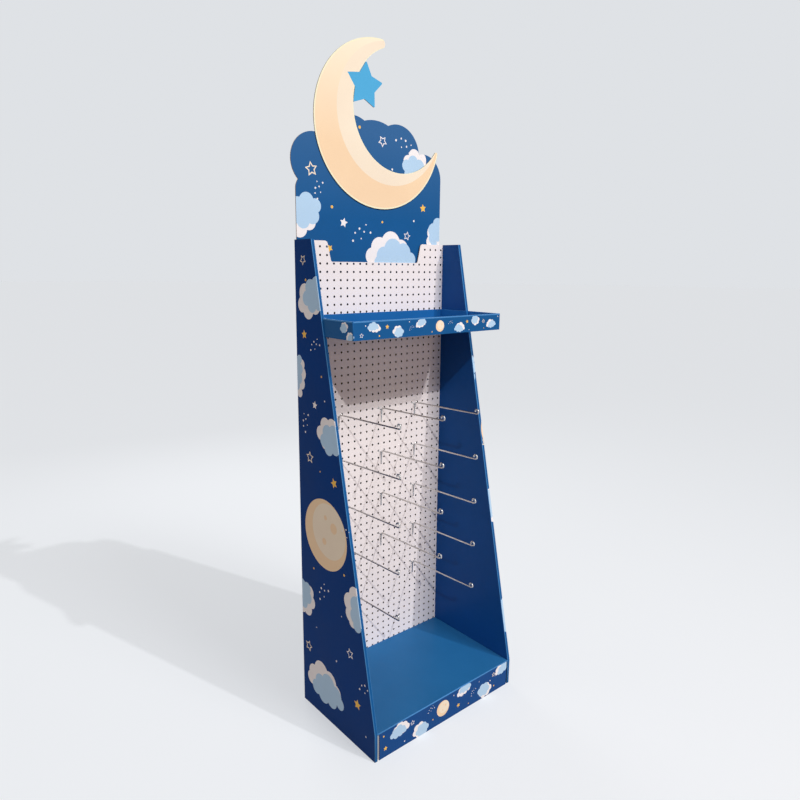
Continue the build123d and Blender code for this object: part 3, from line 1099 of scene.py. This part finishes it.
def punched_board_tree():
    """Board punched with a grid of round holes, left out near its edges and in its notch."""
    tree, graph, given = new_tree("punched_board", (
        ("Hole diameter", "Float"),
        ("Hole sides", "Int"),
        ("Hole pitch", "Float"),
        ("Hole margin", "Float"),
        ("Columns", "Int"),
        ("Rows", "Int"),
        ("Middle", "Vector"),
        ("Thickness", "Float"),
        ("Front", "Vector"),
        ("Face finish", "Material"),
        ("Edge finish", "Material"),
        ("Hole finish", "Material"),
    ))
    steps_across = graph.math("SUBTRACT", given["Columns"], 1.0)
    steps_up = graph.math("SUBTRACT", given["Rows"], 1.0)
    grid = graph.make("GeometryNodeMeshGrid", {
        "Size X": graph.math("MULTIPLY", given["Hole pitch"], steps_across),
        "Size Y": graph.math("MULTIPLY", given["Hole pitch"], steps_up),
        "Vertices X": given["Columns"],
        "Vertices Y": given["Rows"],
    })
    places = graph.make("GeometryNodeTransform", {"Geometry": grid, "Translation": given["Middle"]})
    outline = graph.make("GeometryNodeMeshToCurve", {0: given["Geometry"]})
    blank = graph.make("GeometryNodeFillCurve", {0: outline})
    here = graph.make("GeometryNodeInputPosition")
    above = graph.make("ShaderNodeVectorMath", {0: here, 1: (0.0, 0.0, 1.0)}, operation="ADD")
    ray = graph.add("GeometryNodeRaycast", {
        "Target Geometry": blank,
        "Source Position": above,
        "Ray Direction": (0.0, 0.0, -1.0),
        "Ray Length": 2.0,
    })
    near = graph.add("GeometryNodeProximity", {0: given["Geometry"]}, target_element="EDGES")
    roomy = graph.math("GREATER_THAN", near.outputs["Distance"], given["Hole margin"])
    kept = graph.math("MULTIPLY", ray.outputs["Is Hit"], roomy)
    left_out = graph.math("LESS_THAN", kept, 0.5)
    punched = graph.make(
        "GeometryNodeDeleteGeometry", {"Geometry": places, "Selection": left_out}, domain="POINT")
    radius = graph.math("MULTIPLY", given["Hole diameter"], 0.5)
    rim = graph.make("GeometryNodeCurvePrimitiveCircle", {
        "Resolution": given["Hole sides"], "Radius": radius})
    holes = graph.make("GeometryNodeInstanceOnPoints", {"Points": punched, "Instance": rim})
    holes = graph.make("GeometryNodeRealizeInstances", {0: holes})
    face = graph.make("GeometryNodeFillCurve", {0: graph.join(outline, holes)})
    pushed = graph.add("GeometryNodeExtrudeMesh", {
        "Mesh": face,
        "Offset": (0.0, 0.0, -1.0),
        "Offset Scale": given["Thickness"],
        "Individual": False,
    })
    back = graph.make("GeometryNodeFlipFaces", {0: pushed.outputs["Mesh"]})
    welded = graph.make("GeometryNodeMergeByDistance", {
        0: graph.join(face, back), "Distance": 0.01 * millimetre})
    edged = graph.make("GeometryNodeSetMaterial", {
        "Geometry": welded, "Selection": pushed.outputs["Side"], "Material": given["Edge finish"]})
    board_edge = graph.math("MULTIPLY", given["Thickness"], 0.6)
    far = graph.math("GREATER_THAN", near.outputs["Distance"], board_edge)
    # Hole walls get the near-black finish of painted shade inside the holes
    shaded_hole_wall = graph.math("MULTIPLY", far, pushed.outputs["Side"])
    holed = graph.make("GeometryNodeSetMaterial", {
        "Geometry": edged, "Selection": shaded_hole_wall, "Material": given["Hole finish"]})
    standing = graph.make("GeometryNodeTransform", {
        "Geometry": holed, "Translation": given["Front"], "Rotation": (math.pi / 2, 0.0, 0.0)})
    real = graph.make("GeometryNodeRealizeInstances", {0: standing})
    flat = graph.math("SUBTRACT", 1.0, pushed.outputs["Side"])
    faced = graph.make("GeometryNodeSetMaterial", {
        "Geometry": real, "Selection": flat, "Material": given["Face finish"]})
    graph.add("NodeGroupOutput", {0: faced})
    return tree


def board_outline():
    """Front outline of the pegboard's CAD node, laid flat in X and Y as a mesh of edges."""
    card = CardPiece("pegboard")
    faces = set(card.faces_on((0, -1, 0), card.low))
    waiting = {
        edge for edge in card.mesh.edges
        if sum(face in faces for face in edge.link_faces) == 1
    }
    loops = []
    while waiting:
        loop = []
        edge = waiting.pop()
        corner = edge.verts[0]
        while edge is not None:
            loop.append(corner.co.copy())
            corner = edge.other_vert(corner)
            edge = next((e for e in corner.link_edges if e in waiting), None)
            waiting.discard(edge)
        loops.append(loop)
    card.mesh.free()
    longest = max(loops, key=lambda loop: sum((a - b).length for a, b in zip(loop, loop[1:])))
    count = len(longest)
    data = bpy.data.meshes.new("board_outline")
    data.from_pydata(
        [(point.x, point.z, 0.0) for point in longest],
        [(index, (index + 1) % count) for index in range(count)], [])
    return data


class StandPegboardMake(bpy.types.Operator):
    """Make the white pegboard with its grid of punched holes"""

    bl_idname = "stand.pegboard"
    bl_label = "Pegboard"

    def execute(self, context):
        sizes = context.scene.stand_pegboard
        low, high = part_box("pegboard")
        middle_x = (low.x + high.x) / 2 + sizes.shift
        columns = 2 * math.floor((high.x - middle_x) / sizes.hole_pitch) + 1
        first_row = high.z - sizes.first_row_drop
        rows = math.floor((first_row - low.z) / sizes.hole_pitch) + 1
        middle_z = first_row - sizes.hole_pitch * (rows - 1) / 2
        piece = made_by(punched_board_tree(), "white_pegboard", board_outline(), {
            "Hole diameter": sizes.hole_diameter,
            "Hole sides": sizes.hole_sides,
            "Hole pitch": sizes.hole_pitch,
            "Hole margin": sizes.hole_margin,
            "Columns": columns,
            "Rows": rows,
            "Middle": (middle_x, middle_z, 0.0),
            "Thickness": high.y - low.y,
            "Front": (0.0, low.y, 0.0),
            "Face finish": surface("board"),
            "Edge finish": surface("flute"),
            # Near-black hole walls: painted shade inside the holes
            "Hole finish": surface("hole"),
        })
        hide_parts("pegboard")
        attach(piece, "root")
        return {"FINISHED"}


def wire_hook_tree():
    """Hooks on points: arm and yoke follow their paths, with a bead of weld between them."""
    tree, graph, given = new_tree("wire_hooks", (
        ("Arm path", "Object"),
        ("Yoke path", "Object"),
        ("Arm wire", "Float"),
        ("Yoke wire", "Float"),
        ("Yoke bend", "Float"),
        ("Weld place", "Vector"),
        ("Finish", "Material"),
    ))
    wire_sides = 12
    weld_radius = 0.72
    weld_stretch = (1.3, 0.8, 0.9)

    def drawn(path, diameter):
        radius = graph.math("MULTIPLY", diameter, 0.5)
        section = graph.make("GeometryNodeCurvePrimitiveCircle", {
            "Resolution": wire_sides, "Radius": radius})
        return graph.make("GeometryNodeCurveToMesh", {
            "Curve": path, "Profile Curve": section, "Fill Caps": True})

    arm = graph.add("GeometryNodeObjectInfo", {"Object": given["Arm path"]})
    corners = graph.add("GeometryNodeObjectInfo", {"Object": given["Yoke path"]})
    yoke = graph.make("GeometryNodeFilletCurve", {
        "Curve": corners.outputs["Geometry"],
        "Radius": given["Yoke bend"],
        "Count": 4,
        "Limit Radius": True,
    }, mode="POLY")
    bead_radius = graph.math("MULTIPLY", given["Yoke wire"], weld_radius)
    bead = graph.make("GeometryNodeMeshIcoSphere", {"Radius": bead_radius, "Subdivisions": 2})
    weld = graph.make("GeometryNodeTransform", {
        "Geometry": bead, "Translation": given["Weld place"], "Scale": weld_stretch})
    arm_solid = drawn(arm.outputs["Geometry"], given["Arm wire"])
    hook = graph.join(arm_solid, drawn(yoke, given["Yoke wire"]), weld)
    hung = graph.make("GeometryNodeInstanceOnPoints", {
        "Points": given["Geometry"], "Instance": hook})
    real = graph.make("GeometryNodeRealizeInstances", {0: hung})
    round_shaded = graph.make("GeometryNodeSetShadeSmooth", {0: real})
    finished = graph.make("GeometryNodeSetMaterial", {
        "Geometry": round_shaded, "Material": given["Finish"]})
    graph.add("NodeGroupOutput", {0: finished})
    return tree


def path_object(name, points):
    """Open line of straight runs through the points."""
    data = bpy.data.curves.new(name, "CURVE")
    data.dimensions = "3D"
    spline = data.splines.new("POLY")
    spline.points.add(len(points) - 1)
    for corner, place in zip(spline.points, points):
        corner.co = (*place, 1)
    return new_object(name, data)


def turned(centre, radius, angle):
    """Point of a side view at an angle on a circle."""
    return centre[0] + radius * math.cos(angle), centre[1] + radius * math.sin(angle)


def bend(centre, radius, first, last, divisions):
    """Points along a bend of the wire."""
    turn = (last - first) / divisions
    return [turned(centre, radius, first + turn * place) for place in range(divisions + 1)]


class StandHooksMake(bpy.types.Operator):
    """Make the wire hooks and hang them in the pegboard"""

    bl_idname = "stand.hooks"
    bl_label = "Wire hooks"

    def execute(self, context):
        sizes = context.scene.stand_hooks
        holes = context.scene.stand_pegboard
        board_low, board_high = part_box("pegboard")
        nodes = sorted(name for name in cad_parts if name.startswith("hook_"))
        face_gap = 0.3 * millimetre
        weld_depth = 0.6 * millimetre
        yoke_y = board_low.y - face_gap - sizes.yoke_wire / 2
        prong_y = board_high.y + face_gap + sizes.yoke_wire / 2
        weld_y = board_low.y - face_gap - sizes.yoke_wire - sizes.arm_wire / 2 + weld_depth
        lean = math.asin((sizes.yoke_wire - weld_depth) / sizes.leg)
        quarter = math.pi / 2
        outline = [turned((0, 0), sizes.leg, -quarter - lean)]
        elbow = turned((0, 0), sizes.bend, -lean)
        outline += bend(elbow, sizes.bend, math.pi - lean, quarter + sizes.rise, divisions=7)
        start = outline[-1]
        curl_out = sizes.reach + (weld_y - board_low.y) - sizes.curl - sizes.arm_wire / 2
        run = curl_out + sizes.curl * math.sin(sizes.rise) - start[0]
        end = (start[0] + run, start[1] + run * math.tan(sizes.rise))
        curl = turned(end, sizes.curl, quarter + sizes.rise)
        curl_start = sizes.rise - quarter
        outline += bend(curl, sizes.curl, curl_start, curl_start + sizes.curl_turn, divisions=20)
        arm_path = path_object("arm_path", [(0.0, weld_y - out, up) for out, up in outline])
        half_pitch = holes.hole_pitch / 2
        half_yoke = [
            (half_pitch, prong_y, sizes.yoke_dip + sizes.prong),
            (half_pitch, prong_y, sizes.yoke_dip),
            (half_pitch, yoke_y, sizes.yoke_dip),
        ]
        yoke = [(-x, y, z) for x, y, z in half_yoke] + [(0.0, yoke_y, 0.0)] + half_yoke[::-1]
        yoke_path = path_object("yoke_path", yoke)
        places = []
        foot_depth = sizes.leg * math.cos(lean) + sizes.arm_wire / 2 * math.sin(lean)
        for node in nodes:
            low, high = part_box(node)
            places.append(((low.x + high.x) / 2, 0.0, low.z + foot_depth))
        data = bpy.data.meshes.new("hook_places")
        data.from_pydata(places, [], [])
        piece = made_by(wire_hook_tree(), "wire_hooks", data, {
            "Arm path": arm_path,
            "Yoke path": yoke_path,
            "Arm wire": sizes.arm_wire,
            "Yoke wire": sizes.yoke_wire,
            "Yoke bend": sizes.yoke_bend,
            "Weld place": (0.0, (yoke_y + weld_y) / 2, 0.0),
            "Finish": surface("wire"),
        })
        for path in (arm_path, yoke_path):
            bpy.data.objects.remove(path)
        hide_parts(*nodes)
        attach(piece, "root")
        return {"FINISHED"}


def floor_surface(colour, bounce):
    """Floor that camera and gloss see pale, and that throws little light back on the stand."""
    material, graph, shader = new_surface("studio_floor")
    own_share = 0.55
    glow_strength = 0.935
    seen = (*shade(colour, own_share), 1)
    straight = graph.straight_rays()
    graph.feed(shader, {
        "Base Color": graph.mix(straight, (*bounce, 1), seen),
        "Emission Strength": graph.math("MULTIPLY", straight, glow_strength),
        "Emission Color": seen,
        "Roughness": 1.0,
        "Specular IOR Level": 0.0,
    })
    return material


class StandStage(bpy.types.Operator):
    """Make the floor, the lamps, the room light and the camera"""

    bl_idname = "stand.stage"
    bl_label = "Studio"

    def execute(self, context):
        scene = context.scene
        studio = scene.stand_studio
        self.make_floor(studio)
        self.make_room(scene, studio)
        warm = (1.0, 0.74, 0.62)
        self.make_lamp("ceiling_lamp", studio.ceiling_power, (0.16, -0.70, 0.74), softness=14.0)
        self.make_lamp("left_spot", studio.left_power, (-0.63, -1.0, 0.91), softness=0.6)
        self.make_lamp("right_spot", studio.right_power, (0.38, -1.0, 1.0), softness=1.0)
        self.make_panel("lamp_panel", studio.panel_power, (0.45, -2.4, 3.7), size=1.2, height=1.2)
        self.make_panel(
            "low_panel", studio.fill_power, (0.9, -2.6, 1.5), size=0.9, height=1.1, colour=warm)
        self.make_panel("side_panel", studio.side_power, (-2.6, -0.9, 1.9), size=1.5, height=1.0)
        self.make_panel("back_panel", studio.back_power, (0.6, 2.8, 2.4), size=1.5, height=1.1)
        self.make_camera(scene, studio)
        scene.view_settings.view_transform = "Standard"
        return {"FINISHED"}

    def make_floor(self, studio):
        """Round pale floor, a hair below the stand's underside."""
        floor_radius = 60.0
        drop = 0.5 * millimetre
        mesh = bmesh.new()
        bmesh.ops.create_circle(
            mesh, cap_ends=True, cap_tris=False, segments=96, radius=floor_radius)
        data = bpy.data.meshes.new("studio_floor")
        mesh.to_mesh(data)
        mesh.free()
        data.transform(Matrix.Translation((0, 0, -drop)))
        data.materials.append(floor_surface(studio.backdrop, studio.bounce))
        floor = new_object("studio_floor", data)

    def make_room(self, scene, studio):
        """Light all round, with the backdrop's colour where camera or gloss look past the floor."""
        world = bpy.data.worlds.new("studio_room")
        world.use_nodes = True
        world.node_tree.nodes.clear()
        graph = Graph(world.node_tree)
        warm_white = (1.0, 0.95, 0.92, 1)
        view_strength = 0.88
        light = graph.make("ShaderNodeBackground", {
            "Color": warm_white, "Strength": studio.room_light})
        view = graph.make("ShaderNodeBackground", {
            "Color": (*studio.backdrop, 1), "Strength": view_strength})
        mix = graph.make("ShaderNodeMixShader", {0: graph.straight_rays(), 1: light, 2: view})
        graph.add("ShaderNodeOutputWorld", {"Surface": mix})
        scene.world = world

    def make_light(self, name, kind, power, place, towards):
        """Light of a kind at a place, which shines the opposite way to a direction."""
        data = bpy.data.lights.new(name, kind)
        data.energy = power
        lamp = new_object(name, data)
        lamp.rotation_mode = "QUATERNION"
        lamp.rotation_quaternion = towards.to_track_quat("Z", "Y")
        lamp.location = place
        return data

    def make_lamp(self, name, power, towards, softness):
        """Distant lamp in a direction, with an edge to its shadows that is so many degrees soft."""
        distance = 4
        towards = Vector(towards)
        data = self.make_light(name, "SUN", power, towards * distance, towards)
        data.angle = math.radians(softness)

    def make_panel(self, name, power, place, size, height, colour=(1.0, 1.0, 1.0)):
        """Square lamp panel that shines at a height above the middle of the floor."""
        target = Vector((0.0, 0.0, height))
        data = self.make_light(name, "AREA", power, place, Vector(place) - target)
        data.size = size
        data.color = colour

    def make_camera(self, scene, studio):
        """Camera at the photograph's place and angle."""
        heading = studio.camera_heading
        pitch = studio.camera_pitch
        roll = studio.camera_roll
        ahead = Vector((math.sin(heading), math.cos(heading), 0))
        view = ahead * math.cos(pitch) + Vector((0, 0, math.sin(pitch)))
        level_right = Vector((math.cos(heading), -math.sin(heading), 0))
        level_up = level_right.cross(view)
        right = level_right * math.cos(roll) + level_up * math.sin(roll)
        up = right.cross(view)
        turn = Matrix((right, up, -view)).transposed()
        data = bpy.data.cameras.new("camera")
        data.lens = studio.camera_lens
        data.sensor_width = 36.0
        data.clip_end = 200.0
        camera = new_object("camera", data)
        camera.matrix_world = Matrix.Translation(studio.camera_place) @ turn.to_4x4()
        scene.camera = camera


class StandPanel(bpy.types.Panel):
    """Settings and steps of the display stand"""

    bl_idname = "STAND_PT_panel"
    bl_label = "Display stand"
    bl_space_type = "VIEW_3D"
    bl_region_type = "UI"
    bl_category = "Display stand"

    def draw(self, context):
        for group in (
            context.scene.stand_inks,
            context.scene.stand_pegboard,
            context.scene.stand_hooks,
            context.scene.stand_studio,
        ):
            box = self.layout.box()
            for name in group.__annotations__:
                box.prop(group, name)
        for step in steps:
            self.layout.operator(step.bl_idname)


steps = (
    StandStage,
    StandBody,
    StandBase,
    StandShelf,
    StandHeader,
    StandTopper,
    StandPegboardMake,
    StandHooksMake,
)
settings = (
    ("stand_inks", StandInks),
    ("stand_pegboard", StandPegboard),
    ("stand_hooks", StandHooks),
    ("stand_studio", StandStudio),
)


def register():
    """Register the settings, the steps and the panel."""
    for name, group in settings:
        bpy.utils.register_class(group)
        setattr(bpy.types.Scene, name, PointerProperty(type=group))
    for step in steps:
        bpy.utils.register_class(step)
    bpy.utils.register_class(StandPanel)


def unregister():
    """Take back what register has added."""
    bpy.utils.unregister_class(StandPanel)
    for step in reversed(steps):
        bpy.utils.unregister_class(step)
    for name, group in reversed(settings):
        delattr(bpy.types.Scene, name)
        bpy.utils.unregister_class(group)


def main():
    """Make the stand and its studio."""
    register()
    bpy.ops.stand.stage()
    bpy.ops.stand.body()
    bpy.ops.stand.base()
    bpy.ops.stand.shelf()
    bpy.ops.stand.header()
    bpy.ops.stand.topper()
    bpy.ops.stand.pegboard()
    bpy.ops.stand.hooks()


if __name__ == "__main__":
    main()
